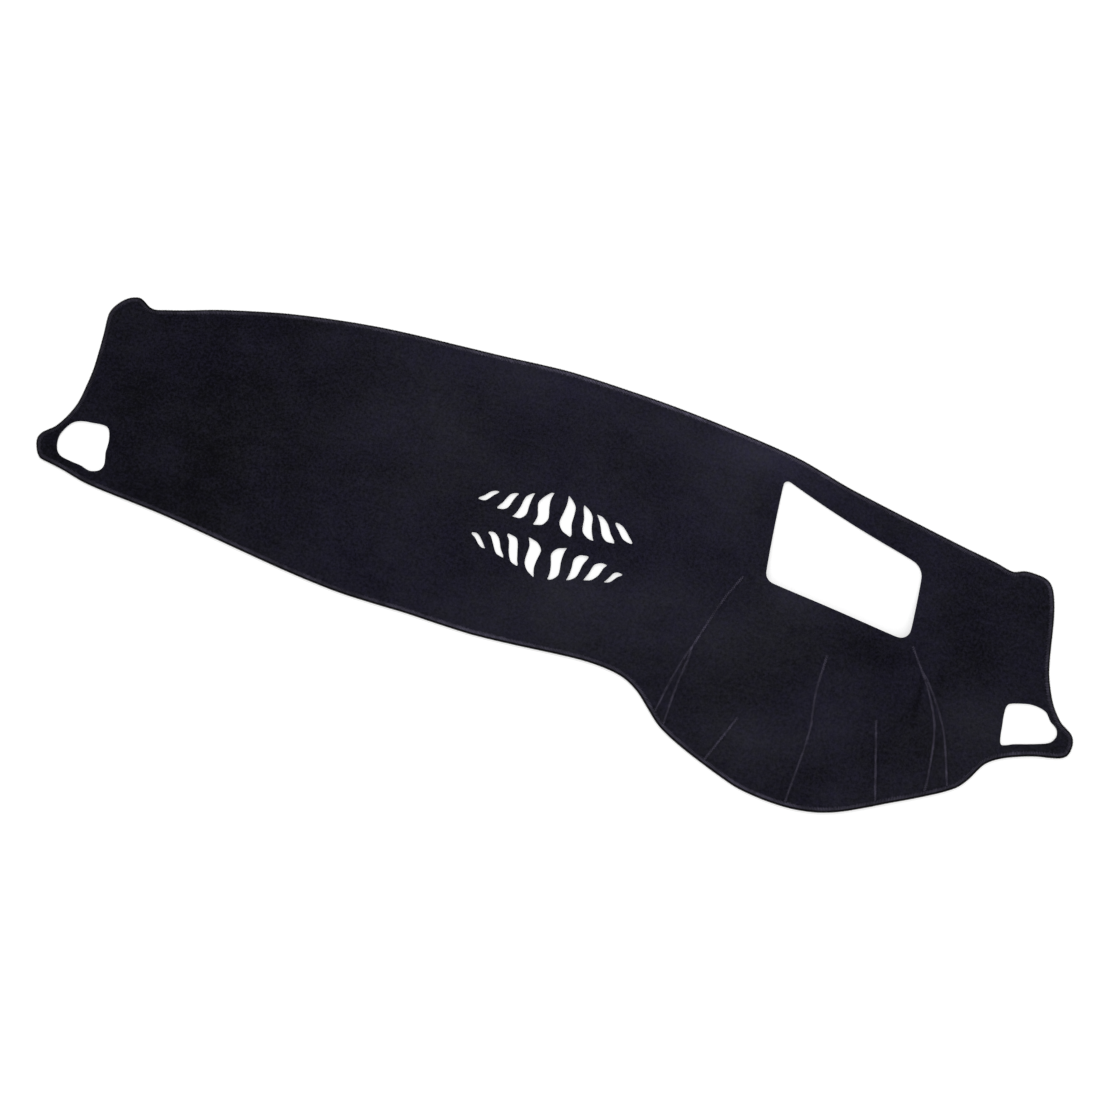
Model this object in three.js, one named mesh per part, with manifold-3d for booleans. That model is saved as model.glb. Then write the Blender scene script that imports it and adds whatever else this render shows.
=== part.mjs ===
// Dashboard cover mat: one velvet-faced sheet with an overlocked rim, laid flat on a surface.
// Darts sewn in from the front rim make a soft dome that fits over the hood of the instruments.
// Millimetres, +Z up. +X runs along the mat to its right-hand end and +Y towards the windscreen.
import * as THREE from "three";
import { mergeVertices } from "three/addons/utils/BufferGeometryUtils.js";
import Module from "manifold-3d";

const wasm = await Module();
wasm.setup();

// The sheet
const LENGTH = 1452; // tip to tip
const DEPTH = 494; // front rim to windscreen rim
const THICKNESS = 4; // pile and backing
const CLEARANCE = 0.3; // between two pieces that touch

// Overlock thread around the rim: a channel that holds the pinched edge of the sheet
const OVERLOCK_WIDTH = 5.5;
const OVERLOCK_WALL = 0.8;
const OVERLOCK_NOSE = 1.2;
const OVERLOCK_LIFT = 0.3; // of its underside above the underside of the sheet

// Dome over the instruments, which ends at the front rim
const DOME_HEIGHT = 30;
const DOME_SIDE_REACH = 225;
const DOME_BACK_REACH = 230;
const DOME_CELL = 25; // longest side of a facet

// Opening for the head-up display
const DISPLAY_LENGTH = 213.5;
const DISPLAY_DEPTH = 175;

// Openings for the side window vents
const LEFT_VENT_LENGTH = 72.2;
const LEFT_VENT_DEPTH = 65.7;
const RIGHT_VENT_LENGTH = 74;
const RIGHT_VENT_DEPTH = 63;

// Grille of leaf-shaped slots
const GRILLE_LENGTH = 213;
const GRILLE_DEPTH = 118;

// Sewn darts: a raised seam allowance with a row of thread on it
const SEAM_WIDTH = 5;
const SEAM_HEIGHT = 1;
const SEAM_BITE = 0.5; // of the allowance into the sheet
const SEAM_END_GAP = 0.5; // between the seams and the overlock
const THREAD_WIDTH = 2.6;
const THREAD_HEIGHT = 0.8;

// Numbers of straight steps that curves are drawn with
const STEPS_PER_STATION = 2;
const STEPS_PER_ARC = 5;
const STEPS_PER_SLOT_SIDE = 10;

// Room that a cutting shape has beyond what it cuts
const CUT_ROOM = 2;

// A place in thousandths of the length and of the depth, from the middle of the mat
const PER_MILLE = 0.001;
const place = ([x, y]) => new THREE.Vector2(x * PER_MILLE * LENGTH, y * PER_MILLE * DEPTH);

// A place in hundredths of half an opening's length and depth, from the middle of the opening
const PER_CENT = 0.01;
const around = (opening, [x, y]) =>
  new THREE.Vector2(
    opening.centre.x + (x * PER_CENT * opening.length) / 2,
    opening.centre.y + (y * PER_CENT * opening.depth) / 2,
  );

// Stations of the rim around the two tips, in hundredths of the vent opening that each tip surrounds
const LEFT_TIP = [
  [-93, 96], [-126, 39], [-162, 5], [-175, -25], [-165, -68], [-143, -102], [-112, -111], [-46, -126],
  [43, -152],
];
const RIGHT_TIP = [
  [-87, -164], [-19, -130], [48, -107], [124, -90], [152, -69], [161, -13], [148, 22], [108, 54], [70, 109],
];

// Stations of the front rim, left to right, and of the side and windscreen rims, right to left
const FRONTMOST = [253, -500];
const FRONT_RIM = [
  [-424, -171], [-369, -189], [-307, -217], [-238, -249], [-183, -267], [-121, -272], [-57.5, -280],
  [-4, -274], [46, -267], [73.5, -272], [91, -285], [106.5, -313], [130.5, -379], [154.5, -418],
  [192.5, -463], [214, -485], [233.5, -495], FRONTMOST, [273, -499], [292.5, -490], [313, -470],
  [351, -416], [386.5, -364], [407.5, -326], [417, -292], [426, -249],
];
const BACK_RIM = [
  [470.5, -13], [464.5, 40], [460.5, 115], [457.5, 183], [453.5, 238], [448.5, 273], [443, 287],
  [433.5, 293], [421, 293], [411.5, 283], [395.5, 294], [364.5, 312], [306, 349], [244, 390], [196, 430],
  [137.5, 458], [72, 481], [17, 493], [-38, 500], [-93.5, 494], [-162, 488], [-217.5, 481], [-265.5, 467],
  [-310, 448], [-341, 429], [-375.5, 405], [-403, 381], [-422.5, 366], [-431.5, 360], [-437.5, 363],
  [-444, 375], [-449.5, 381], [-459.5, 371], [-468, 346], [-472.5, 317], [-471.5, 264], [-470, 155],
  [-471.5, 96], [-474, 46],
];

// The vent openings; the farthest station of each tip is a tip of the whole mat
const leftTipReach = (-Math.min(...LEFT_TIP.map(([x]) => x)) * PER_CENT * LEFT_VENT_LENGTH) / 2;
const rightTipReach = (Math.max(...RIGHT_TIP.map(([x]) => x)) * PER_CENT * RIGHT_VENT_LENGTH) / 2;
const LEFT_VENT_LINE = [0, -60.5];
const RIGHT_VENT_LINE = [0, -120];
const leftVent = {
  centre: new THREE.Vector2(leftTipReach - LENGTH / 2, place(LEFT_VENT_LINE).y),
  length: LEFT_VENT_LENGTH,
  depth: LEFT_VENT_DEPTH,
  outline: [
    [-100, -4], [-94, 28], [-68, 75], [-38, 92], [7, 98], [57, 100], [75, 87], [89, 39], [91, -10],
    [100, -59], [90, -86], [54, -100], [18, -89], [-63, -74], [-88, -54],
  ],
};
const rightVent = {
  centre: new THREE.Vector2(LENGTH / 2 - rightTipReach, place(RIGHT_VENT_LINE).y),
  length: RIGHT_VENT_LENGTH,
  depth: RIGHT_VENT_DEPTH,
  outline: [
    [-100, 54], [-92, 75], [-65, 87], [-19, 99], [16, 97], [46, 84], [67, 52], [92, 30], [100, 0],
    [85, -32], [54, -50], [-44, -84], [-84, -100], [-91, -88], [-97, -23],
  ],
};

// The display opening hangs from its back corner near the windscreen rim
const DISPLAY_BACK_CORNER = [185.3, 368.4];
const displayBack = place(DISPLAY_BACK_CORNER);
const display = {
  centre: new THREE.Vector2(displayBack.x + DISPLAY_LENGTH / 2, displayBack.y - DISPLAY_DEPTH / 2),
  length: DISPLAY_LENGTH,
  depth: DISPLAY_DEPTH,
  backLeft: { at: [-100, 100], radius: 6 },
  backBend: { at: [-21, 63], radius: 1500 },
  backRight: { at: [97.5, 22], radius: 24 },
  frontRight: { at: [100, -100], radius: 15.5 },
  frontLeft: { at: [-92.5, -66], radius: 15.5 },
};

// Slots of the grille, each as its two sides from one tip to the other, in hundredths of the grille's half
// length and depth: the row towards the windscreen, then the front row, both from left to right
const GRILLE_CENTRE = [-10.5, 38];
const SLOTS = [
  [[[-79.5, 70], [-79, 67.5], [-84.5, 57.5], [-93, 41], [-101, 40]], [[-102.5, 41.5], [-101.5, 45], [-96, 52], [-90, 63.5], [-83.5, 69.5]]],
  [[[-54, 76], [-57.5, 64.5], [-60, 52], [-62.5, 39.5], [-68, 32]], [[-75.5, 30.5], [-76, 33.5], [-71, 47.5], [-64, 71], [-55.5, 77.5]]],
  [[[-34.5, 88], [-36.5, 71], [-37.5, 53], [-38, 34.5], [-44.5, 22]], [[-54.5, 22], [-51, 32], [-47.5, 50.5], [-44.5, 74], [-37.5, 86]]],
  [[[-11, 100], [-13, 79.5], [-11.5, 58.5], [-9.5, 38], [-15, 21]], [[-26, 16.5], [-23.5, 40], [-27, 69], [-18, 93.5], [-14, 99.5]]],
  [[[8, 103], [10.5, 100], [20, 81], [21, 40], [24.5, 15.5]], [[23.5, 11], [12, 19.5], [5.5, 37.5], [7, 60], [8.5, 82]]],
  [[[30, 91], [38.5, 82.5], [44.5, 67.5], [46, 49.5], [49, 32]], [[53, 16.5], [47.5, 17], [37, 30.5], [34.5, 59.5], [30.5, 82.5]]],
  [[[49, 77.5], [55.5, 76.5], [64.5, 64.5], [72, 43], [78.5, 29]], [[79.5, 23.5], [70, 22.5], [62.5, 32.5], [58.5, 47.5], [54.5, 63]]],
  [[[74, 70.5], [75.5, 72], [84.5, 67], [95.5, 48], [101.5, 35.5]], [[100.5, 32.5], [97, 33], [88.5, 38.5], [81.5, 53], [75.5, 65]]],
  [[[-98, -39], [-92.5, -37.5], [-87.5, -42.5], [-83.5, -50.5], [-80, -58.5]], [[-76.5, -67], [-80.5, -67.5], [-86.5, -60.5], [-92.5, -49], [-98, -42.5]]],
  [[[-77.5, -27], [-71, -25], [-63, -36], [-57.5, -57], [-52, -71]], [[-51, -76.5], [-60.5, -72], [-67.5, -53.5], [-74, -35], [-77.5, -30.5]]],
  [[[-53.5, -19.5], [-41.5, -24.5], [-36.5, -49], [-33, -74.5], [-31, -82.5]], [[-31, -86.5], [-40, -81], [-46.5, -58], [-50, -33.5], [-54, -23.5]]],
  [[[-26.5, -15.5], [-15, -21], [-7.5, -37], [-9, -58.5], [-10, -80]], [[-7.5, -101], [-17, -91], [-23, -74], [-23.5, -54], [-23, -34]]],
  [[[23.5, -16.5], [21.5, -29], [21, -53], [22, -81.5], [14.5, -96.5]], [[10.5, -97.5], [11, -77.5], [9, -57.5], [6.5, -38], [12.5, -22.5]]],
  [[[52.5, -21.5], [53, -25], [48.5, -43.5], [44.5, -74.5], [36, -87]], [[33.5, -88], [35.5, -71], [36, -53.5], [36, -36], [42.5, -23.5]]],
  [[[78, -29.5], [77.5, -33], [75, -38.5], [71, -58], [63.5, -73]], [[54.5, -77.5], [55.5, -72], [59, -57.5], [63, -36], [72, -28]]],
  [[[99.5, -40.5], [100, -43], [94.5, -50.5], [87.5, -65.5], [81.5, -69.5]], [[80, -69.5], [83, -61.5], [86, -52.5], [89, -43.5], [94, -39]]],
];

// Darts, each a stem that may fork into two lines around a folded flap. The two long ones
// start beside the front corners of the display opening, the others at a place of their own
const frontLeftCorner = around(display, display.frontLeft.at);
const frontRightCorner = around(display, display.frontRight.at);
const LEFT_DART_OFFSET = new THREE.Vector2(-29, -3);
const RIGHT_DART_OFFSET = new THREE.Vector2(7, -5);
const DARTS = [
  {
    stem: [frontLeftCorner.clone().add(LEFT_DART_OFFSET), ...[[158, -14], [142, -156]].map(place)],
    forks: [[[138, -187], [131.5, -255], [123, -379]], [[141.5, -191], [138, -260], [135, -388]]],
  },
  {
    stem: [place([198.5, -308])],
    forks: [[[192, -353], [179.5, -438]]],
  },
  {
    stem: [place([262, -87])],
    forks: [[[260.5, -190], [264, -289], [263, -371], [260, -490]]],
  },
  {
    stem: [place([320, -217])],
    forks: [[[324.5, -265], [339, -425]]],
  },
  {
    stem: [frontRightCorner.clone().add(RIGHT_DART_OFFSET), ...[[344, -26], [350, -51]].map(place)],
    forks: [[[361, -102], [374, -188], [379.5, -326], [379.5, -364]], [[357.5, -73], [381.5, -182], [399, -337]]],
  },
];

// A smooth closed curve through stations, counter-clockwise seen from above
function smoothLoop(stations) {
  const through = stations.map((p) => new THREE.Vector3(p.x, p.y, 0));
  const curve = new THREE.CatmullRomCurve3(through, true, "centripetal");
  const count = stations.length * STEPS_PER_STATION;
  const loop = [];
  for (let i = 0; i < count; i += 1) {
    const p = curve.getPoint(i / count);
    loop.push(new THREE.Vector2(p.x, p.y));
  }
  return THREE.ShapeUtils.isClockWise(loop) ? loop.reverse() : loop;
}

// A closed loop of straight sides between corners, each rounded to its own radius
function roundedLoop(corners) {
  const loop = [];
  corners.forEach(({ at, radius }, i) => {
    const before = corners[(i + corners.length - 1) % corners.length].at;
    const after = corners[(i + 1) % corners.length].at;
    const toBefore = before.clone().sub(at).normalize();
    const toAfter = after.clone().sub(at).normalize();
    const halfAngle = Math.acos(toBefore.dot(toAfter)) / 2;
    const bisector = toBefore.clone().add(toAfter).normalize();
    const centre = at.clone().addScaledVector(bisector, radius / Math.sin(halfAngle));
    const start = at.clone().addScaledVector(toBefore, radius / Math.tan(halfAngle)).sub(centre);
    const end = at.clone().addScaledVector(toAfter, radius / Math.tan(halfAngle)).sub(centre);
    const sweep = Math.atan2(start.cross(end), start.dot(end));
    for (let k = 0; k <= STEPS_PER_ARC; k += 1) {
      const spoke = start.clone().rotateAround(new THREE.Vector2(), (sweep * k) / STEPS_PER_ARC);
      loop.push(spoke.add(centre));
    }
  });
  return THREE.ShapeUtils.isClockWise(loop) ? loop.reverse() : loop;
}

// A counter-clockwise loop moved inwards by a distance
function insetLoop(loop, distance) {
  return loop.map((p, i) => {
    const before = loop[(i + loop.length - 1) % loop.length];
    const after = loop[(i + 1) % loop.length];
    const onwards = after.clone().sub(p).normalize();
    const mean = p.clone().sub(before).normalize().add(onwards).normalize();
    const inwards = new THREE.Vector2(-mean.y, mean.x);
    return p.clone().addScaledVector(inwards, distance / mean.dot(onwards));
  });
}

// A slot's outline: its two sides, each a smooth curve from one tip to the other
function slotLoop(sides) {
  return sides.flatMap((side, i) => {
    const end = sides[(i + 1) % sides.length][0];
    const through = [...side, end].map((p) => new THREE.Vector3(p.x, p.y, 0));
    const curve = new THREE.CatmullRomCurve3(through, false, "centripetal");
    const points = curve.getPoints(STEPS_PER_SLOT_SIDE).slice(0, STEPS_PER_SLOT_SIDE);
    return points.map((p) => new THREE.Vector2(p.x, p.y));
  });
}

function grilleLoops() {
  const grille = { centre: place(GRILLE_CENTRE), length: GRILLE_LENGTH, depth: GRILLE_DEPTH };
  return SLOTS.map((sides) => slotLoop(sides.map((side) => side.map((station) => around(grille, station)))));
}

// A smooth open curve through the points of a line, and the number of steps that it is drawn with
function smoothLine(line) {
  const through = line.map((p) => new THREE.Vector3(p.x, p.y, 0));
  const curve = new THREE.CatmullRomCurve3(through, false, "centripetal");
  return { curve, count: (line.length - 1) * STEPS_PER_STATION };
}

// A strip of a given width along a line
function ribbonLoop(line, width) {
  const { curve, count } = smoothLine(line);
  const left = [];
  const right = [];
  for (let i = 0; i <= count; i += 1) {
    const p = curve.getPoint(i / count);
    const way = curve.getTangent(i / count);
    left.push(new THREE.Vector2(p.x - (way.y * width) / 2, p.y + (way.x * width) / 2));
    right.unshift(new THREE.Vector2(p.x + (way.y * width) / 2, p.y - (way.x * width) / 2));
  }
  return [...left, ...right];
}

// The dome: its middle, and its height over a place
const domeCentre = place([254.5, -154]);
const domeFrontReach = domeCentre.y - place(FRONTMOST).y;

function domeHeight(x, y) {
  const across = (x - domeCentre.x) / DOME_SIDE_REACH;
  const reach = y < domeCentre.y ? domeFrontReach : DOME_BACK_REACH;
  const along = (y - domeCentre.y) / reach;
  const spread = across * across + along * along;
  return spread < 1 ? DOME_HEIGHT * (1 - spread) * (1 - spread) : 0;
}

// Lines of the grid that every face follows: close together on the dome and none on the flat
function gridLines(low, high, middle, reachLow, reachHigh) {
  const lines = [low];
  const stretches = [[middle - reachLow, middle], [middle, middle + reachHigh]];
  for (const [from, to] of stretches) {
    const count = Math.ceil((to - from) / DOME_CELL);
    for (let i = 0; i < count; i += 1) {
      lines.push(THREE.MathUtils.lerp(from, to, i / count));
    }
  }
  lines.push(middle + reachHigh, high);
  return lines.filter((at) => at >= low && at <= high);
}

const farX = LENGTH / 2 + CUT_ROOM;
const farY = DEPTH / 2 + CUT_ROOM;
const gridX = gridLines(-farX, farX, domeCentre.x, DOME_SIDE_REACH, DOME_SIDE_REACH);
const gridY = gridLines(-farY, farY, domeCentre.y, domeFrontReach, DOME_BACK_REACH);

// A closed mesh with merged vertices as a solid
function solidOf(geometry) {
  geometry.deleteAttribute("normal");
  geometry.deleteAttribute("uv");
  const merged = mergeVertices(geometry);
  const vertProperties = new Float32Array(merged.getAttribute("position").array);
  const triVerts = new Uint32Array(merged.getIndex().array);
  return new wasm.Manifold(new wasm.Mesh({ numProp: 3, vertProperties, triVerts }));
}

// A slab over the whole grid whose two faces lie a given height above the underside of the sheet
function slab(lowHeight, highHeight) {
  const columns = gridX.length;
  const rows = gridY.length;
  const positions = [];
  for (const height of [lowHeight, highHeight]) {
    for (const y of gridY) {
      for (const x of gridX) {
        positions.push(x, y, height + domeHeight(x, y));
      }
    }
  }
  const low = (column, row) => row * columns + column;
  const high = (column, row) => columns * rows + low(column, row);
  const indices = [];
  const quad = (a, b, c, d) => indices.push(a, b, c, a, c, d);
  for (let row = 0; row + 1 < rows; row += 1) {
    for (let column = 0; column + 1 < columns; column += 1) {
      quad(high(column, row), high(column + 1, row), high(column + 1, row + 1), high(column, row + 1));
      quad(low(column, row), low(column, row + 1), low(column + 1, row + 1), low(column + 1, row));
    }
  }
  for (let column = 0; column + 1 < columns; column += 1) {
    const last = rows - 1;
    quad(low(column, 0), low(column + 1, 0), high(column + 1, 0), high(column, 0));
    quad(low(column + 1, last), low(column, last), high(column, last), high(column + 1, last));
  }
  for (let row = 0; row + 1 < rows; row += 1) {
    const last = columns - 1;
    quad(low(0, row + 1), low(0, row), high(0, row), high(0, row + 1));
    quad(low(last, row), low(last, row + 1), high(last, row + 1), high(last, row));
  }
  const geometry = new THREE.BufferGeometry();
  geometry.setAttribute("position", new THREE.Float32BufferAttribute(positions, 3));
  geometry.setIndex(indices);
  return solidOf(geometry);
}

// An upright prism on a loop, with holes, that reaches past every slab
function prism(loop, holes = []) {
  const shape = new THREE.Shape(loop);
  shape.holes = holes.map((hole) => new THREE.Path(hole));
  const below = 2 * CUT_ROOM;
  const above = DOME_HEIGHT + 2 * THICKNESS + SEAM_HEIGHT + THREAD_HEIGHT + below;
  const geometry = new THREE.ExtrudeGeometry(shape, { depth: below + above, bevelEnabled: false });
  return solidOf(geometry.translate(0, 0, -below));
}

// What a slab leaves inside a prism: a piece of cloth that follows the dome
const cloth = (lowHeight, highHeight, loop, holes) => slab(lowHeight, highHeight).intersect(prism(loop, holes));

// A band along the rim between two distances from it
function rimBand(lowHeight, highHeight, outerInset, innerInset) {
  return cloth(lowHeight, highHeight, insetLoop(rimLoop, outerInset), [insetLoop(rimLoop, innerInset)]);
}

// Rim and openings
const rimLoop = smoothLoop([
  ...FRONT_RIM.map(place),
  ...RIGHT_TIP.map((station) => around(rightVent, station)),
  ...BACK_RIM.map(place),
  ...LEFT_TIP.map((station) => around(leftVent, station)),
]);
const displayCorners = [
  display.backLeft, display.backBend, display.backRight, display.frontRight, display.frontLeft,
].map(({ at, radius }) => ({ at: around(display, at), radius }));
const openingLoops = [
  roundedLoop(displayCorners),
  smoothLoop(leftVent.outline.map((station) => around(leftVent, station))),
  smoothLoop(rightVent.outline.map((station) => around(rightVent, station))),
  ...grilleLoops(),
];

// Heights of the overlock channel and of the edge of the sheet inside it
const overlockTop = OVERLOCK_LIFT + THICKNESS;
const channelLow = OVERLOCK_LIFT + OVERLOCK_WALL;
const channelHigh = overlockTop - OVERLOCK_WALL;

// Where the seams end: just inside the overlock
const seamField = prism(insetLoop(rimLoop, OVERLOCK_WIDTH + CLEARANCE + SEAM_END_GAP));

// The lines of a dart, from its inner end to the rim
function dartLines({ stem, forks }) {
  const [first, ...others] = forks.map((fork) => fork.map(place));
  return [[...stem, ...first], ...others.map((fork) => [stem[stem.length - 1], ...fork])];
}

// A dart's lines as strips of cloth or thread, joined into one solid
function dartStrips(dart, width, lowHeight, highHeight) {
  const strips = dartLines(dart).map((line) => cloth(lowHeight, highHeight, ribbonLoop(line, width)));
  return strips.reduce((joined, strip) => joined.add(strip)).intersect(seamField);
}

// The folded flap between the two lines of a forked dart
function dartFlap(dart, lowHeight, highHeight) {
  const foot = dart.stem[dart.stem.length - 1];
  const [left, right] = dart.forks.map((fork) => {
    const { curve, count } = smoothLine([foot, ...fork.map(place)]);
    return curve.getPoints(count).map((p) => new THREE.Vector2(p.x, p.y));
  });
  const outline = [...left, ...right.slice(1).reverse()];
  return cloth(lowHeight, highHeight, outline).intersect(seamField);
}

// The sheet: full thickness inside, pinched to the overlock channel at the rim, raised at the darts
function makeSheet() {
  const edgeInset = OVERLOCK_NOSE + CLEARANCE;
  const pinchInset = OVERLOCK_WIDTH + CLEARANCE;
  let sheet = cloth(0, THICKNESS, insetLoop(rimLoop, edgeInset), openingLoops);
  sheet = sheet.subtract(rimBand(-CUT_ROOM, channelLow + CLEARANCE, -CUT_ROOM, pinchInset));
  sheet = sheet.subtract(rimBand(channelHigh - CLEARANCE, THICKNESS + CUT_ROOM, -CUT_ROOM, pinchInset));
  for (const dart of DARTS) {
    const heights = [THICKNESS - SEAM_BITE, THICKNESS + SEAM_HEIGHT];
    sheet = sheet.add(dartStrips(dart, SEAM_WIDTH, ...heights));
    if (dart.forks.length > 1) {
      sheet = sheet.add(dartFlap(dart, ...heights));
    }
  }
  return sheet;
}

// The overlock: a band around the rim with the channel cut out of it
function makeOverlock() {
  const band = rimBand(OVERLOCK_LIFT, overlockTop, 0, OVERLOCK_WIDTH);
  const channel = rimBand(channelLow, channelHigh, OVERLOCK_NOSE, OVERLOCK_WIDTH + CUT_ROOM);
  return band.subtract(channel);
}

// The row of thread on a dart's seam allowance
function makeSeamThread(dart) {
  const low = THICKNESS + SEAM_HEIGHT + CLEARANCE;
  return dartStrips(dart, THREAD_WIDTH, low, low + THREAD_HEIGHT);
}

// Materials
const velvet = new THREE.MeshStandardMaterial({ color: 0x1f1e28, roughness: 0.95, metalness: 0 });
const thread = new THREE.MeshStandardMaterial({ color: 0x35343f, roughness: 0.8, metalness: 0 });

// A named mesh of a solid
function meshOf(name, solid, material) {
  const { vertProperties, triVerts, numProp } = solid.getMesh();
  const geometry = new THREE.BufferGeometry();
  const points = new THREE.InterleavedBuffer(vertProperties, numProp);
  geometry.setAttribute("position", new THREE.InterleavedBufferAttribute(points, 3, 0));
  geometry.setIndex(new THREE.BufferAttribute(triVerts, 1));
  const mesh = new THREE.Mesh(geometry, material);
  mesh.name = name;
  return mesh;
}

const mat = new THREE.Group();
mat.add(meshOf("mat_sheet", makeSheet(), velvet));
mat.add(meshOf("rim_overlock", makeOverlock(), thread));
DARTS.forEach((dart, i) => {
  mat.add(meshOf(`dart_thread_${i + 1}`, makeSeamThread(dart), thread));
});

export default mat;
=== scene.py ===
"""Dashboard cover mat: a velvet sheet with overlocked rim and sewn darts, laid on a pale floor.

The rim and the openings are read from the frame's own solids, so every piece keeps to the CAD model.
Lengths are in metres.
"""

import math

import bmesh
import bpy
import numpy as np
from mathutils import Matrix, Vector, noise
from mathutils.geometry import delaunay_2d_cdt


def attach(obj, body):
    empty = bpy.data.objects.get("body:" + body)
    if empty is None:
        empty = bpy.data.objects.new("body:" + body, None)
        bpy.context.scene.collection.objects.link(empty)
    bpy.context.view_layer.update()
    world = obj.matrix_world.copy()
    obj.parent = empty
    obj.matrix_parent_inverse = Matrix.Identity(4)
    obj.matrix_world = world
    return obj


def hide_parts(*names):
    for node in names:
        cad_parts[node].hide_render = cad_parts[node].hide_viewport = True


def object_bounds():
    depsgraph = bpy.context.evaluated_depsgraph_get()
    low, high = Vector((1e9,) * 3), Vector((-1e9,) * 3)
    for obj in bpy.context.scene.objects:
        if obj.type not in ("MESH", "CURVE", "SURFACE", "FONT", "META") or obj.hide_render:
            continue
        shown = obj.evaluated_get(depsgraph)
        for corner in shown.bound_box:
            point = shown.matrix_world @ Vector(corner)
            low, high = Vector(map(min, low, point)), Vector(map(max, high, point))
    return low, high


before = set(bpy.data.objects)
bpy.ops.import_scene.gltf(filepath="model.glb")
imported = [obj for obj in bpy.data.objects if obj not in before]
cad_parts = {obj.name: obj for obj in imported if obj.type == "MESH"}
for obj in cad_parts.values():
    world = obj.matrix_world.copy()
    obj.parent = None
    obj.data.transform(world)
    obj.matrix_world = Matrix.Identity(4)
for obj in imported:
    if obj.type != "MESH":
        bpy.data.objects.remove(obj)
cad_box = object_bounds()

MM = 0.001
LOW, HIGH = (np.array(corner) for corner in cad_box)
LENGTH = HIGH[0] - LOW[0]
DEPTH = HIGH[1] - LOW[1]

# The sheet and its dome, as in the CAD model
THICKNESS = 4 * MM
DOME_HEIGHT = 30 * MM
DOME_SIDE_REACH = 225 * MM
DOME_BACK_REACH = 230 * MM
PER_MILLE = 0.001


def place(x, y):
    """A place given in thousandths of the length and of the depth, from the middle of the mat."""
    return np.array([x * PER_MILLE * LENGTH, y * PER_MILLE * DEPTH])


DOME_CENTRE = place(254.5, -154)
DOME_FRONT_REACH = DOME_CENTRE[1] - place(253, -500)[1]


def dome_height(points):
    """The height of the sheet's underside over points in plan."""
    across = (points[:, 0] - DOME_CENTRE[0]) / DOME_SIDE_REACH
    ahead = points[:, 1] - DOME_CENTRE[1]
    along = ahead / np.where(ahead < 0, DOME_FRONT_REACH, DOME_BACK_REACH)
    spread = np.minimum(across**2 + along**2, 1)
    return DOME_HEIGHT * (1 - spread) ** 2


# The camera, at the photograph's viewing angle
CAMERA_AZIMUTH = math.radians(15.64)
CAMERA_ELEVATION = math.radians(80)
CAMERA_DISTANCE = 2.6
HALF_WIDTH_SEEN = 0.749
CAMERA_TARGET = Vector((-0.0033, -0.0037, 0))


def make_camera():
    data = bpy.data.cameras.new("camera")
    data.lens = data.sensor_width / 2 * CAMERA_DISTANCE / HALF_WIDTH_SEEN
    data.clip_end = 20
    camera = bpy.data.objects.new("camera", data)
    bpy.context.collection.objects.link(camera)
    flat = math.cos(CAMERA_ELEVATION)
    back = Vector((
        math.sin(CAMERA_AZIMUTH) * flat,
        -math.cos(CAMERA_AZIMUTH) * flat,
        math.sin(CAMERA_ELEVATION),
    ))
    camera.location = CAMERA_TARGET + back * CAMERA_DISTANCE
    camera.rotation_euler = back.to_track_quat("Z", "Y").to_euler()
    bpy.context.scene.camera = camera


make_camera()


# Loops in plan, read from the solids

SAME_PLACE = 0.01 * MM
SAME_LIFT = 0.3 * MM
STRAIGHT_TURN = math.radians(0.3)
FACES_DOWN = -0.5  # a normal's z below this
UPRIGHT = 0.02  # a normal's z, up or down, below this


def underside_loops(node, lift):
    """The closed loops where a node's underside, a given lift above the dome, meets its upright walls."""
    mesh = bmesh.new()
    mesh.from_mesh(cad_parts[node].data)
    bmesh.ops.remove_doubles(mesh, verts=mesh.verts, dist=SAME_PLACE)
    mesh.verts.index_update()
    mesh.verts.ensure_lookup_table()
    mesh.normal_update()
    follows = {}
    for edge in mesh.edges:
        under = [loop for loop in edge.link_loops if loop.face.normal.z < FACES_DOWN]
        walls = [loop for loop in edge.link_loops if abs(loop.face.normal.z) < UPRIGHT]
        if len(under) == len(walls) == 1:
            follows[under[0].vert.index] = under[0].link_loop_next.vert.index
    loops = []
    while follows:
        here = next(iter(follows))
        loop = []
        while here in follows:
            loop.append(mesh.verts[here].co.copy())
            here = follows.pop(here)
        loop = np.array(loop)
        if np.median(np.abs(loop[:, 2] - dome_height(loop) - lift)) < SAME_LIFT:
            loops.append(loop[:, :2])
    mesh.free()
    return [counter_clockwise(drop_straight(loop)) for loop in loops]


def drop_straight(loop):
    """The loop without the points that lie on its straight sides."""
    before, after = loop - np.roll(loop, 1, 0), np.roll(loop, -1, 0) - loop
    turn = np.arctan2(cross(before, after), (before * after).sum(1))
    return loop[np.abs(turn) > STRAIGHT_TURN]


def cross(a, b):
    return a[..., 0] * b[..., 1] - a[..., 1] * b[..., 0]


def area_of(loop):
    return cross(loop, np.roll(loop, -1, 0)).sum() / 2


def counter_clockwise(loop):
    return loop if area_of(loop) > 0 else loop[::-1]


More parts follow.
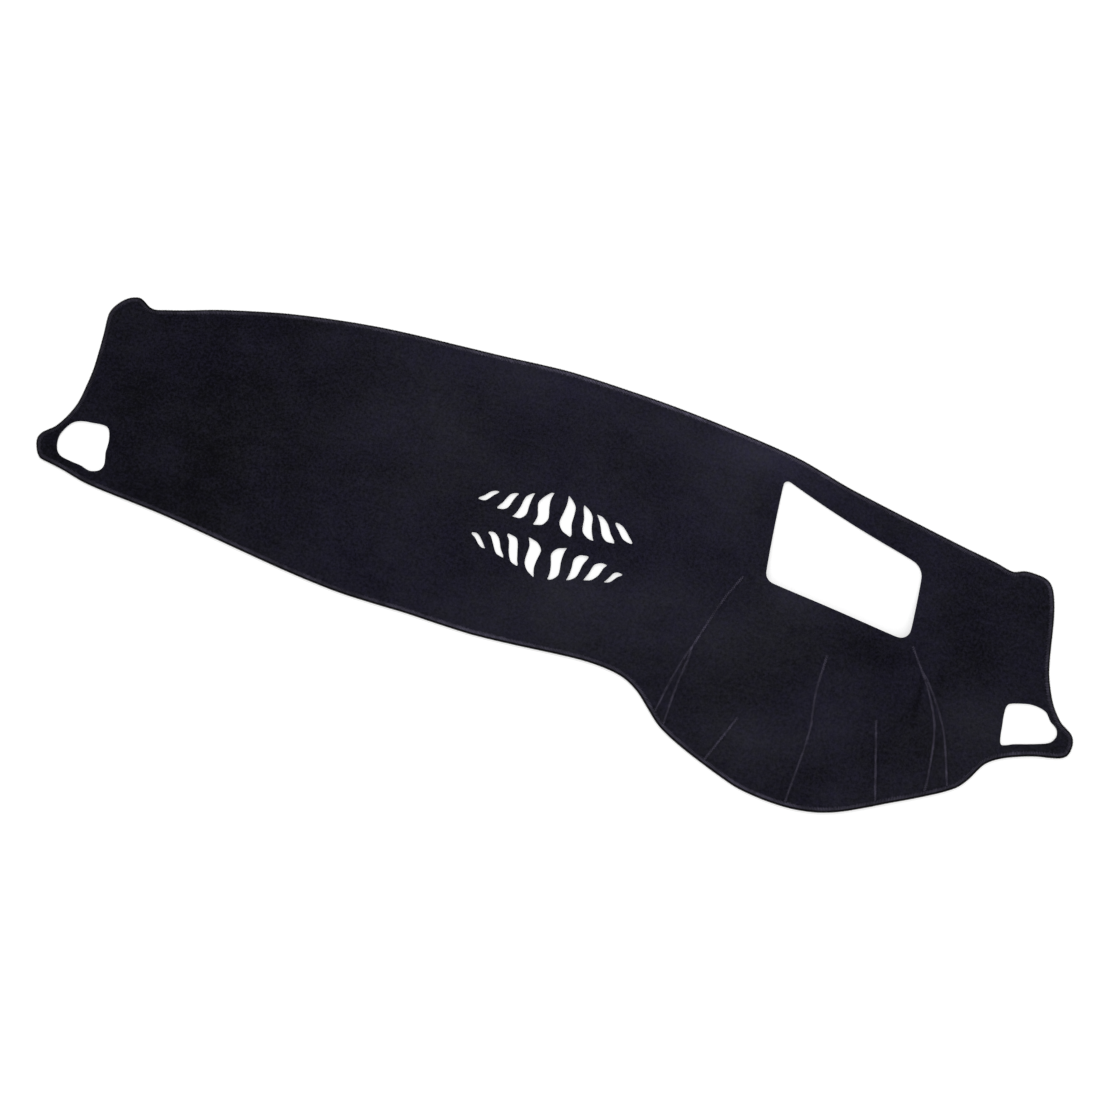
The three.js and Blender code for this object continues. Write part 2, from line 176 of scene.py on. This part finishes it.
def curve_through(points, spacing, closed):
    """A centripetal Catmull-Rom curve through points in plan, with a point about every spacing."""
    points = np.asarray(points, float)
    if closed:
        padded = np.concatenate([points[-1:], points, points[:2]])
    else:
        padded = np.concatenate([2 * points[:1] - points[1:2], points, 2 * points[-1:] - points[-2:-1]])
    out = []
    for p0, p1, p2, p3 in zip(padded, padded[1:], padded[2:], padded[3:]):
        steps_between = ((p0, p1), (p1, p2), (p2, p3))
        d0, d1, d2 = (max(np.linalg.norm(b - a), 1e-9) ** 0.5 for a, b in steps_between)
        m1 = ((p1 - p0) / d0 - (p2 - p0) / (d0 + d1) + (p2 - p1) / d1) * d1
        m2 = ((p2 - p1) / d1 - (p3 - p1) / (d1 + d2) + (p3 - p2) / d2) * d1
        steps = max(1, round(np.linalg.norm(p2 - p1) / spacing))
        t = (np.arange(steps) / steps)[:, None]
        out.append(p1 + m1 * t + (3 * (p2 - p1) - 2 * m1 - m2) * t**2 + (2 * (p1 - p2) + m1 + m2) * t**3)
    if not closed:
        out.append(points[-1:])
    return np.concatenate(out)


def inset(loop, distance):
    """A counter-clockwise loop moved inwards."""
    onwards = np.roll(loop, -1, 0) - loop
    onwards /= np.linalg.norm(onwards, axis=1)[:, None]
    mean = onwards + np.roll(onwards, 1, 0)
    mean /= np.linalg.norm(mean, axis=1)[:, None]
    inwards = np.stack([-mean[:, 1], mean[:, 0]], 1)
    return loop + inwards * distance / (mean * onwards).sum(1)[:, None]


def distance_to(points, line, closed):
    """Each point's distance from a line of straight steps, and how far along the line the nearest place is."""
    starts = line if closed else line[:-1]
    ends = np.roll(line, -1, 0) if closed else line[1:]
    way = ends - starts
    lengths = np.linalg.norm(way, axis=1)
    travelled = np.concatenate([[0], np.cumsum(lengths)[:-1]])
    best = np.full(len(points), np.inf)
    along = np.zeros(len(points))
    chunk = 2000
    for first in range(0, len(points), chunk):
        p = points[first : first + chunk, None]
        share = np.clip(((p - starts) * way).sum(2) / lengths**2, 0, 1)
        gap = np.linalg.norm(starts + share[..., None] * way - p, axis=2)
        nearest = gap.argmin(1)
        rows = np.arange(len(nearest))
        best[first : first + chunk] = gap[rows, nearest]
        along[first : first + chunk] = travelled[nearest] + share[rows, nearest] * lengths[nearest]
    return best, along


def smooth_step(low, high, value):
    t = np.clip((value - low) / (high - low), 0, 1)
    return t * t * (3 - 2 * t)


def inside(points, loop):
    """Which points lie inside a closed loop."""
    ends = np.roll(loop, -1, 0)
    result = np.zeros(len(points), bool)
    for (x0, y0), (x1, y1) in zip(loop, ends):
        straddles = (y0 > points[:, 1]) != (y1 > points[:, 1])
        if straddles.any():
            result ^= straddles & (points[:, 0] < (x1 - x0) * (points[:, 1] - y0) / (y1 - y0 + 1e-12) + x0)
    return result


RIM_SPACING = 2.5 * MM
OVERLOCK_LIFT = 0.3 * MM
OVERLOCK_WIDTH = 5.5 * MM
rim_loop = max(underside_loops("rim_overlock", OVERLOCK_LIFT), key=area_of)
rim = curve_through(rim_loop, RIM_SPACING, closed=True)
openings = [
    curve_through(loop, RIM_SPACING / 2, closed=True)
    for loop in underside_loops("mat_sheet", 0)
    if area_of(loop) < LENGTH * DEPTH / 4
]

# The darts' seam lines, in thousandths of the length and depth: a stem, and the forks that go on from it
DARTS = [
    (
        [(170.6, 68), (158, -14), (142, -156)],
        [[(138, -187), (131.5, -255), (123, -379)], [(141.5, -191), (138, -260), (135, -388)]],
    ),
    ([(198.5, -308)], [[(192, -353), (179.5, -438)]]),
    ([(262, -87)], [[(260.5, -190), (264, -289), (263, -371), (260, -486)]]),
    ([(320, -217)], [[(324.5, -265), (339, -425)]]),
    (
        [(337, 4.7), (344, -26), (350, -51)],
        [
            [(361, -102), (374, -188), (379.5, -326), (379.5, -364)],
            [(357.5, -73), (381.5, -182), (399, -337)],
        ],
    ),
]
SEAM_STEP = 1.5 * MM


def dart_lines(stem, forks):
    first, *others = forks
    lines = [stem + first] + [[stem[-1]] + fork for fork in others]
    lines = [curve_through([place(*at) for at in line], SEAM_STEP, closed=False) for line in lines]
    return [line[inside(line, seam_field)] for line in lines]


SEAM_END_GAP = 0.8 * MM
seam_field = inset(rim, OVERLOCK_WIDTH + SEAM_END_GAP)
darts = [dart_lines(*dart) for dart in DARTS]


# The shape of the cloth

SEAM_HEIGHT = 1 * MM
SEAM_HALF_WIDTH = 2.5 * MM
CREASE_DEPTH = 0.5 * MM
CREASE_WIDTH = 1.2 * MM
WAVE_HEIGHT = 1.2 * MM
WAVES = [(7, 3, 1), (19, 8, 0.4)]  # waves in a metre, place in the noise, and share of the height


def waves(points):
    """How far the laid cloth lifts off its smooth shape: soft uneven places."""
    field = np.array([
        sum(share * noise.noise(Vector((x * often, y * often, at))) for often, at, share in WAVES)
        for x, y in points
    ])
    return WAVE_HEIGHT * np.clip(0.5 + 0.6 * field, 0, 1)


def seam_relief(points):
    """The height of seam allowances and folded flaps on the cloth."""
    relief = np.zeros(len(points))
    for lines in darts:
        gap = np.min([distance_to(points, line, closed=False)[0] for line in lines], 0)
        allowance = 1 - smooth_step(SEAM_HALF_WIDTH * 0.6, SEAM_HALF_WIDTH * 1.6, gap)
        if len(lines) > 1:
            first, second = lines
            start = distance_to(second[:1], first, closed=False)[1][0]
            fork = first[round(start / SEAM_STEP) :]
            flap = inside(points, np.concatenate([fork, second[::-1]]))
            allowance = np.where(flap, 1, allowance)
        crease = np.exp(-(((gap - SEAM_HALF_WIDTH * 1.5) / CREASE_WIDTH) ** 2))
        relief = np.maximum(relief, SEAM_HEIGHT * allowance) - CREASE_DEPTH * crease * (1 - allowance)
    return relief


def underside_of(points):
    return dome_height(points) + waves(points)


def cloth_top(points):
    """The top of the full cloth, without its pinched rim."""
    return underside_of(points) + THICKNESS + seam_relief(points)


# Meshes

GRID_SEED, SEAM_GRID_SEED, STITCH_SEED, DART_SEED = 1, 2, 3, 10


def new_object(name, vertices, faces, smooth=True):
    data = bpy.data.meshes.new(name)
    data.from_pydata([tuple(map(float, v)) for v in vertices], [], [tuple(map(int, f)) for f in faces])
    data.validate()
    if smooth:
        data.polygons.foreach_set("use_smooth", [True] * len(data.polygons))
    piece = bpy.data.objects.new(name, data)
    bpy.context.collection.objects.link(piece)
    return piece


GRID = 4.6 * MM
SEAM_GRID = 1.7 * MM
SEAM_AREA_LEFT = 0.1
SEAM_AREA_BACK = 0.05
SEAM_GRID_REACH = 6.5 * MM  # of the fine grid from a seam line
GRID_GAP = 1 * MM  # between the two grids
RIM_GAP = 1.5 * MM  # between the grid and the rings along the rim
OPENING_GAP = 3.4 * MM
SHEET_INSET = 1.6 * MM
PINCH_START = 2.8 * MM
PINCH_MIDDLE = 4.4 * MM
PINCH_END = 6.4 * MM
PINCH_FROM_BELOW = 1.4 * MM
PINCH_FROM_ABOVE = 0.9 * MM
EDGE_RADIUS = 1.0 * MM
EDGE_DROP_ABOVE = 0.8  # share of the rounding
EDGE_DROP_BELOW = 0.3
LIP_STEPS = np.array([0, 0.25, 0.9, 2.2]) * MM  # of the rings around an opening


def grid_points(low, high, spacing, jitter, seed):
    rng = np.random.default_rng(seed)
    xs = np.arange(low[0], high[0], spacing)
    ys = np.arange(low[1], high[1], spacing * math.sqrt(3) / 2)
    x, y = np.meshgrid(xs, ys)
    x[1::2] += spacing / 2
    points = np.stack([x.ravel(), y.ravel()], 1)
    return points + rng.uniform(-jitter, jitter, points.shape) * spacing


def make_sheet():
    edge = inset(rim, SHEET_INSET)
    loops = [edge] + [inset(rim, distance) for distance in (PINCH_START, PINCH_MIDDLE, PINCH_END)]
    loops += [inset(loop, -step) for loop in openings for step in LIP_STEPS]

    grid = grid_points(LOW[:2], HIGH[:2], GRID, 0.12, GRID_SEED)
    all_lines = [line for lines in darts for line in lines]
    fine = grid_points(LOW[:2], HIGH[:2], SEAM_GRID, 0.1, SEAM_GRID_SEED)
    fine = fine[(fine[:, 0] > SEAM_AREA_LEFT) & (fine[:, 1] < SEAM_AREA_BACK)]
    from_seams = np.min([distance_to(fine, line[::4], closed=False)[0] for line in all_lines], 0)
    fine = fine[from_seams < SEAM_GRID_REACH]
    from_seams = np.min([distance_to(grid, line[::4], closed=False)[0] for line in all_lines], 0)
    points = np.concatenate([grid[from_seams > SEAM_GRID_REACH + GRID_GAP], fine])
    points = points[inside(points, rim)]
    points = points[distance_to(points, rim, closed=True)[0] > PINCH_END + RIM_GAP]
    for loop in openings:
        points = points[~inside(points, loop)]
        points = points[distance_to(points, loop, closed=True)[0] > OPENING_GAP]

    plan, edges = [], []
    for loop in loops:
        first = len(plan)
        plan.extend(loop)
        edges.extend((first + i, first + (i + 1) % len(loop)) for i in range(len(loop)))
    plan.extend(points)
    plan, _, faces, *_ = delaunay_2d_cdt([Vector(p) for p in plan], edges, [], 0, 1e-7)
    plan = np.array([tuple(p) for p in plan])
    faces = np.array(faces)
    middle = plan[faces].mean(1)
    keep = inside(middle, edge)
    for loop in openings:
        keep &= ~inside(middle, loop)
    faces = faces[keep]
    used = np.unique(faces)
    renumber = np.full(len(plan), -1)
    renumber[used] = np.arange(len(used))
    plan, faces = plan[used], renumber[faces]

    low = underside_of(plan)
    high = low + THICKNESS + seam_relief(plan)
    from_rim = distance_to(plan, rim, closed=True)[0]
    pinch = 1 - smooth_step(PINCH_START, PINCH_END, from_rim)
    low = low + PINCH_FROM_BELOW * pinch
    high = high - PINCH_FROM_ABOVE * pinch
    for loop in openings:
        gap = distance_to(plan, loop, closed=True)[0]
        near = gap < EDGE_RADIUS
        drop = EDGE_RADIUS - np.sqrt(np.maximum(EDGE_RADIUS**2 - (EDGE_RADIUS - gap) ** 2, 0))
        high = np.where(near, high - drop * EDGE_DROP_ABOVE, high)
        low = np.where(near, low + drop * EDGE_DROP_BELOW, low)

    count = len(plan)
    vertices = np.concatenate([np.column_stack([plan, high]), np.column_stack([plan, low])])
    top_edges = dict.fromkeys((a, b) for face in faces for a, b in zip(face, np.roll(face, -1)))
    walls = []
    for a, b in top_edges:
        if (b, a) not in top_edges:
            walls += [(b, a, a + count), (b, a + count, b + count)]
    all_faces = [tuple(f) for f in faces] + [tuple(f[::-1] + count) for f in faces] + walls
    return new_object("velvet_sheet", vertices, all_faces)


def frames_along(line, closed):
    """Unit vectors along a line in plan, and across it to the left."""
    onwards = (np.roll(line, -1, 0) - np.roll(line, 1, 0)) if closed else np.gradient(line, axis=0)
    onwards = onwards / np.linalg.norm(onwards, axis=1)[:, None]
    return onwards, np.stack([-onwards[:, 1], onwards[:, 0]], 1)


def resample(line, spacing, closed):
    """Points at an even spacing along a line."""
    path = np.concatenate([line, line[:1]]) if closed else line
    travelled = np.concatenate([[0], np.cumsum(np.linalg.norm(np.diff(path, axis=0), axis=1))])
    count = max(2, round(travelled[-1] / spacing))
    at = np.linspace(0, travelled[-1], count + 1)
    if closed:
        at = at[:-1]
    return np.stack([np.interp(at, travelled, path[:, i]) for i in (0, 1)], 1)


# The overlock's cross-section: how far in from the rim, and how high above the underside
OVERLOCK_PROFILE = np.array([
    (5.4, 3.3), (5.5, 3.9), (5.0, 4.25), (3.8, 4.4), (2.5, 4.35), (1.0, 3.9), (0.1, 2.8),
    (0.1, 1.7), (0.8, 0.7), (2.2, 0.3), (4.6, 0.3), (5.4, 0.5), (5.4, 1.1),
    (2.6, 1.25), (1.3, 1.6), (1.3, 3.0), (2.6, 3.3),
]) * MM


TOP_ROWS = 4  # of the profile, in the lit finish; the rest take a darker copy as painted shade


def make_overlock():
    line = resample(rim, RIM_SPACING, closed=True)
    _, inwards = frames_along(line, closed=True)
    vertices = []
    low = underside_of(line)
    for inset_by, height in OVERLOCK_PROFILE:
        vertices.append(np.column_stack([line + inwards * inset_by, low + height]))
    vertices = np.concatenate(vertices)
    rows, count = len(OVERLOCK_PROFILE), len(line)
    faces = []
    for i in range(rows):
        for j in range(count):
            a, b = i * count + j, i * count + (j + 1) % count
            c, d = (i + 1) % rows * count + (j + 1) % count, (i + 1) % rows * count + j
            faces.append((a, d, c, b))
    piece = new_object("overlock_band", vertices, faces)
    row = np.arange(len(faces)) // count
    # Rows from near the rim's edge over its nose and underside take the darker copy: painted shade.
    in_painted_shade = (row >= TOP_ROWS) & (row < rows - 1)
    piece.data.polygons.foreach_set("material_index", in_painted_shade.astype(int))
    return piece


def tube(vertices, faces, path, radii, sides):
    """Adds a closed tube along a path in space to lists of vertices and faces."""
    path = np.asarray(path)
    onwards = np.gradient(path, axis=0)
    onwards /= np.linalg.norm(onwards, axis=1)[:, None]
    side = np.cross(onwards, np.cross(onwards[len(path) // 2], [0, 0, 1]) + 1e-6)
    side /= np.linalg.norm(side, axis=1)[:, None]
    other = np.cross(onwards, side)
    first = len(vertices)
    for p, u, v, r in zip(path, side, other, radii):
        for k in range(sides):
            turn = 2 * math.pi * k / sides
            vertices.append(p + (u * math.cos(turn) + v * math.sin(turn)) * r)
    for i in range(len(path) - 1):
        for k in range(sides):
            a, b = first + i * sides + k, first + i * sides + (k + 1) % sides
            faces.append((a, b, b + sides, a + sides))
    faces.append(tuple(first + k for k in range(sides))[::-1])
    last = first + (len(path) - 1) * sides
    faces.append(tuple(last + k for k in range(sides)))


STITCH_PITCH = 2.05 * MM
# A stitch's path around the rim: how far in from it, and how high above the underside
OVERLOCK_STITCH = np.array([
    (6.6, 4.0), (5.6, 4.6), (4.0, 4.8), (2.5, 4.75), (0.9, 4.2),
    (-0.1, 3.0), (-0.1, 1.6), (0.8, 0.65), (2.0, 0.4),
]) * MM
STITCH_TAPER = np.array([0.5, 0.95, 1, 1, 1, 1, 1, 0.9, 0.5])
STITCH_RADIUS = (0.36 * MM, 0.46 * MM)
STITCH_LEAN = (0.9, 1.5)  # of its two ends along the rim, in pitches
STITCH_LONGER = (-0.5 * MM, 1.1 * MM)
STITCH_LIFT = (-0.08 * MM, 0.08 * MM)
TOP_STEPS = 3  # of a stitch's path, in the lit finish; the rest take a darker copy as painted shade
STITCH_SIDES = 5


def make_overlock_stitches():
    line = resample(rim, STITCH_PITCH, closed=True)
    onwards, inwards = frames_along(line, closed=True)
    low = underside_of(line)
    rng = np.random.default_rng(STITCH_SEED)
    vertices, faces = [], []
    steps = np.linspace(0.5, -0.5, len(OVERLOCK_STITCH))[:, None]
    for p, way, inward, base in zip(line, onwards, inwards, low):
        lean = STITCH_PITCH * rng.uniform(*STITCH_LEAN)
        longer = rng.uniform(*STITCH_LONGER)
        plan = p + inward * OVERLOCK_STITCH[:, :1] + way * steps * lean
        plan[0] += inward * longer
        heights = base + OVERLOCK_STITCH[:, 1] + rng.uniform(*STITCH_LIFT)
        radii = rng.uniform(*STITCH_RADIUS) * STITCH_TAPER
        tube(vertices, faces, np.column_stack([plan, heights]), radii, STITCH_SIDES)
    piece = new_object("overlock_stitches", vertices, faces)
    per_stitch = STITCH_SIDES * (len(OVERLOCK_STITCH) - 1) + 2
    order = np.arange(len(faces)) % per_stitch
    # Steps over the rim's nose and underneath take the darker copy: painted shade.
    in_painted_shade = (order >= TOP_STEPS * STITCH_SIDES) & (order != per_stitch - 2)
    piece.data.polygons.foreach_set("material_index", in_painted_shade.astype(int))
    return piece


THREAD_PITCH = 1.4 * MM
THREAD_HALF_WIDTH = 1.8 * MM
THREAD_RADIUS = (0.36 * MM, 0.5 * MM)
THREAD_TAPER = np.array([0.6, 1, 1, 1, 0.6])
THREAD_RISE = np.array([0.02, 0.32, 0.42, 0.32, 0.02]) * MM
THREAD_LEAN = (0.5, 0.9)  # of its two ends along the seam, in pitches
THREAD_SHARE = (0.65, 1.15)  # of the full width
THREAD_SHIFT = (-0.25 * MM, 0.25 * MM)


def make_dart_thread(name, lines, seed):
    rng = np.random.default_rng(seed)
    vertices, faces = [], []
    for line in lines:
        centres = resample(line, THREAD_PITCH, closed=False)
        onwards, across = frames_along(centres, closed=False)
        offsets = np.linspace(-THREAD_HALF_WIDTH, THREAD_HALF_WIDTH, len(THREAD_RISE))[:, None]
        for i, (p, way, side) in enumerate(zip(centres, onwards, across)):
            lean = THREAD_PITCH * rng.uniform(*THREAD_LEAN) * (1 if i % 2 else -1)
            plan = p + side * (offsets * rng.uniform(*THREAD_SHARE) + rng.uniform(*THREAD_SHIFT))
            plan += way * offsets / (3 * MM) * lean
            height = cloth_top(plan) + THREAD_RISE
            radii = rng.uniform(*THREAD_RADIUS) * THREAD_TAPER
            tube(vertices, faces, np.column_stack([plan, height]), radii, STITCH_SIDES)
    return new_object(name, vertices, faces)


# Materials

def new_material(name):
    material = bpy.data.materials.new(name)
    material.use_nodes = True
    tree = material.node_tree
    tree.nodes.clear()
    return material, tree


def node(tree, kind, **values):
    made = tree.nodes.new(kind)
    for key, value in values.items():
        setattr(made, key, value)
    return made


def coordinates(tree, scale=(1, 1, 1)):
    where = node(tree, "ShaderNodeTexCoord")
    mapping = node(tree, "ShaderNodeMapping")
    mapping.inputs["Scale"].default_value = scale
    tree.links.new(where.outputs["Object"], mapping.inputs["Vector"])
    return mapping.outputs["Vector"]


def noise_of(tree, vector, scale, detail=4, roughness=0.55):
    made = node(tree, "ShaderNodeTexNoise")
    made.inputs["Scale"].default_value = scale
    made.inputs["Detail"].default_value = detail
    made.inputs["Roughness"].default_value = roughness
    tree.links.new(vector, made.inputs["Vector"])
    return made.outputs["Fac"]


def math_of(tree, operation, *inputs, clamp=False):
    made = node(tree, "ShaderNodeMath", operation=operation, use_clamp=clamp)
    for socket, value in zip(made.inputs, inputs):
        if isinstance(value, (int, float)):
            socket.default_value = value
        else:
            tree.links.new(value, socket)
    return made.outputs[0]


def map_range(tree, value, from_low, from_high, to_low, to_high, smooth=False):
    made = node(tree, "ShaderNodeMapRange", interpolation_type="SMOOTHSTEP" if smooth else "LINEAR")
    limits = {"From Min": from_low, "From Max": from_high, "To Min": to_low, "To Max": to_high}
    for key, number in limits.items():
        made.inputs[key].default_value = number
    tree.links.new(value, made.inputs["Value"])
    return made.outputs["Result"]


# Soft patches lighter or darker, partly brushed pile and partly painted light and shade from the cloth's waves
# and folds: middle and reach in millimetres, and how much
PILE_AND_PAINTED_LIGHT_PATCHES = [
    (-560, 0, 300, 420, -0.5), (-552, -14, 45, 40, 0.3), (-211, 104, 110, 60, 0.3), (-300, 95, 60, 40, 0.12),
    (-80, 222, 260, 50, 0.4), (39, -62, 100, 70, 0.5), (-60, -120, 110, 60, 0.35), (0, 80, 160, 40, 0.12),
    (195, -40, 90, 70, 0.4), (200, 120, 90, 90, 0.3), (226, 211, 70, 30, 0.7), (270, 200, 130, 60, 0.45),
    (150, 190, 120, 50, 0.3), (324, 24, 60, 40, 0.65), (397, -130, 50, 60, 0.3), (314, -180, 60, 50, 0.45),
    (596, -74, 60, 60, 0.3), (245, -124, 50, 50, -0.15), (-120, 40, 70, 60, -0.15), (559, 20, 70, 70, -0.3),
    # The thin dark patches at (512, -62) and (537, -38) are painted shadows beside the folded flap of the
    # fifth dart.
    (430, -20, 80, 25, -0.3), (512, -62, 6, 38, -0.5), (537, -38, 9, 28, -0.35), (500, -115, 50, 70, -0.25),
    (590, 90, 90, 60, -0.25), (676, 60, 60, 90, -0.2),
]
# Painted highlights along the overlocked rim, and painted shade at its left end: middle and reach in
# millimetres, and how much.
RIM_PAINTED_LIGHT_PATCHES = [
    (60, 230, 340, 110, 1.1), (-75, -175, 150, 60, 1.7), (330, -240, 140, 60, 0.5), (180, -180, 60, 60, 0.3),
    (-700, 60, 160, 220, -0.5),
]


def painted_patch_tone(tree, position, patches):
    """One, and more or less than one over listed soft patches of painted light and shade."""
    tone = 1.0
    for x, y, reach_x, reach_y, amount in patches:
        shift = node(tree, "ShaderNodeMapping")
        shift.inputs["Location"].default_value = (-x / reach_x, -y / reach_y, 0)
        shift.inputs["Scale"].default_value = (1000 / reach_x, 1000 / reach_y, 0)
        tree.links.new(position, shift.inputs["Vector"])
        length = node(tree, "ShaderNodeVectorMath", operation="LENGTH")
        tree.links.new(shift.outputs["Vector"], length.inputs[0])
        fade = map_range(tree, length.outputs["Value"], 0, 1.3, amount, 0, smooth=True)
        tone = math_of(tree, "ADD", tone, fade)
    return tone


def two_tone(tree, factor, first, second):
    mix = node(tree, "ShaderNodeMix", data_type="RGBA")
    mix.inputs["A"].default_value = (*first, 1)
    mix.inputs["B"].default_value = (*second, 1)
    tree.links.new(factor, mix.inputs["Factor"])
    return mix.outputs["Result"]


def scaled_colour(tree, colour, tone):
    made = node(tree, "ShaderNodeVectorMath", operation="SCALE")
    tree.links.new(colour, made.inputs[0])
    tree.links.new(tone, made.inputs["Scale"])
    return made.outputs["Vector"]


def cloth_shader(tree, colour, height, depth, roughness, specular, sheen):
    shader = node(tree, "ShaderNodeBsdfPrincipled")
    tree.links.new(colour, shader.inputs["Base Color"])
    shader.inputs["Roughness"].default_value = roughness
    shader.inputs["Specular IOR Level"].default_value = specular
    shader.inputs["Sheen Weight"].default_value = sheen
    shader.inputs["Sheen Roughness"].default_value = 0.3
    shader.inputs["Sheen Tint"].default_value = (0.62, 0.58, 0.85, 1)
    bump = node(tree, "ShaderNodeBump")
    bump.inputs["Strength"].default_value = 0.8
    bump.inputs["Distance"].default_value = depth
    tree.links.new(height, bump.inputs["Height"])
    tree.links.new(bump.outputs["Normal"], shader.inputs["Normal"])
    output = node(tree, "ShaderNodeOutputMaterial")
    tree.links.new(shader.outputs[0], output.inputs["Surface"])


def velvet_material():
    material, tree = new_material("velvet")
    position = coordinates(tree)
    cloudy = map_range(tree, noise_of(tree, position, 11, 3, 0.6), 0.3, 0.7, -0.22, 0.22)
    streaks = map_range(tree, noise_of(tree, coordinates(tree, (24, 70, 30)), 1, 4, 0.6), 0.3, 0.7, -0.1, 0.1)
    tufts = map_range(tree, noise_of(tree, position, 260, 3, 0.75), 0.3, 0.7, -0.55, 0.55)
    fibres = map_range(tree, noise_of(tree, position, 900, 2, 0.7), 0.3, 0.7, -0.3, 0.3)
    # Painted light and shade over soft patches, partly brushed pile.
    tone = painted_patch_tone(tree, position, PILE_AND_PAINTED_LIGHT_PATCHES)
    for part in (cloudy, streaks, tufts, fibres):
        tone = math_of(tree, "ADD", tone, part)
    tone = math_of(tree, "MAXIMUM", tone, 0.25)
    hue = math_of(tree, "ADD", noise_of(tree, position, 5, 3, 0.6), noise_of(tree, position, 110, 3, 0.6))
    hue = map_range(tree, hue, 0.75, 1.25, 0, 1)
    colour = two_tone(tree, hue, (0.0108, 0.0098, 0.0205), (0.0112, 0.0111, 0.0152))
    height = math_of(tree, "ADD", noise_of(tree, position, 900, 3, 0.7), noise_of(tree, position, 260, 2, 0.6))
    cloth_shader(tree, scaled_colour(tree, colour, tone), height, 0.0007, 0.95, 0.05, 0.1)
    return material


def thread_material(name, colour, patches=(), variation=0.35):
    material, tree = new_material(name)
    position = coordinates(tree)
    fuzz = map_range(tree, noise_of(tree, position, 240, 3, 0.6), 0.3, 0.7, 1 - variation, 1 + variation)
    worn = map_range(tree, noise_of(tree, position, 45, 3, 0.7), 0.35, 0.65, 1 - variation, 1 + variation)
    tone = math_of(tree, "MULTIPLY", fuzz, worn)
    # Painted light and shade from the given patches, when there are any.
    if patches:
        tone = math_of(tree, "MULTIPLY", tone, painted_patch_tone(tree, position, patches))
    darker = tuple(0.85 * part for part in colour)
    mixed = two_tone(tree, noise_of(tree, position, 20, 2, 0.5), darker, colour)
    height = noise_of(tree, position, 2500, 2, 0.6)
    cloth_shader(tree, scaled_colour(tree, mixed, tone), height, 0.0002, 0.8, 0.1, 0.02)
    return material


velvet = velvet_material()
# The rim's band and stitches carry painted highlights and shade from the rim patches.
overlock_cloth = thread_material("overlock_cloth", (0.020, 0.0185, 0.029), RIM_PAINTED_LIGHT_PATCHES)
overlock_thread = thread_material("overlock_thread", (0.058, 0.053, 0.080), RIM_PAINTED_LIGHT_PATCHES)
# A near-black copy of the overlock thread: painted shade for the rim's nose and underside.
overlock_painted_shade = thread_material("overlock_thread_painted_shade", (0.0032, 0.0030, 0.0042))
dart_thread = thread_material("dart_thread", (0.062, 0.056, 0.086), variation=0.4)


def dress(piece, material, slot, *nodes):
    piece.data.materials.append(material)
    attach(piece, "root")
    if nodes:
        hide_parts(*nodes)
    return piece


sheet = dress(make_sheet(), velvet, "velvet", "mat_sheet")
band = dress(make_overlock(), overlock_cloth, "overlock_thread", "rim_overlock")
stitches = dress(make_overlock_stitches(), overlock_thread, "overlock_thread")
# Each rim piece's second material is that painted-shade copy.
for piece in (band, stitches):
    piece.data.materials.append(overlock_painted_shade)
threads = [
    dress(
        make_dart_thread(f"dart_stitches_{number}", lines, DART_SEED + number - 1),
        dart_thread, "dart_thread", f"dart_thread_{number}",
    )
    for number, lines in enumerate(darts, 1)
]


# Studio: a pale floor and soft, level light

SEEN_WHITE = 0.45


def make_floor():
    """A pale floor that the camera sees as white, with the shadow of the mat on it."""
    floor = new_object("floor", [(-8, -8, 0), (8, -8, 0), (8, 8, 0), (-8, 8, 0)], [(0, 1, 2, 3)], smooth=False)
    material, tree = new_material("floor")
    matt = node(tree, "ShaderNodeBsdfDiffuse")
    matt.inputs["Color"].default_value = (0.75, 0.75, 0.75, 1)
    white = node(tree, "ShaderNodeEmission")
    path = node(tree, "ShaderNodeLightPath")
    seen = math_of(tree, "MAXIMUM", path.outputs["Is Camera Ray"], path.outputs["Is Glossy Ray"])
    seen = math_of(tree, "MAXIMUM", seen, path.outputs["Is Transmission Ray"])
    tree.links.new(math_of(tree, "MULTIPLY", seen, SEEN_WHITE), white.inputs["Strength"])
    both = node(tree, "ShaderNodeAddShader")
    tree.links.new(matt.outputs[0], both.inputs[0])
    tree.links.new(white.outputs[0], both.inputs[1])
    output = node(tree, "ShaderNodeOutputMaterial")
    tree.links.new(both.outputs[0], output.inputs["Surface"])
    floor.data.materials.append(material)


def make_world():
    world = bpy.data.worlds.new("studio")
    bpy.context.scene.world = world
    world.use_nodes = True
    tree = world.node_tree
    background = tree.nodes["Background"]
    path = node(tree, "ShaderNodeLightPath")
    seen = math_of(tree, "MAXIMUM", path.outputs["Is Camera Ray"], path.outputs["Is Glossy Ray"])
    seen = math_of(tree, "MAXIMUM", seen, path.outputs["Is Transmission Ray"])
    strength = map_range(tree, seen, 0, 1, 0.75, 1)
    tree.links.new(strength, background.inputs["Strength"])
    background.inputs["Color"].default_value = (1, 1, 1, 1)


def area_light(name, location, size, power):
    data = bpy.data.lights.new(name, "AREA")
    data.size = size
    data.energy = power
    light = bpy.data.objects.new(name, data)
    light.location = location
    light.rotation_euler = (-Vector(location)).to_track_quat("-Z", "Y").to_euler()
    bpy.context.collection.objects.link(light)


make_floor()
make_world()
area_light("key", (-0.9, 1.6, 2.4), 1.8, 22)
area_light("fill", (1.6, -1.2, 2.2), 2.2, 8)

bpy.context.scene.view_settings.view_transform = "Standard"
bpy.context.scene.view_settings.look = "None"
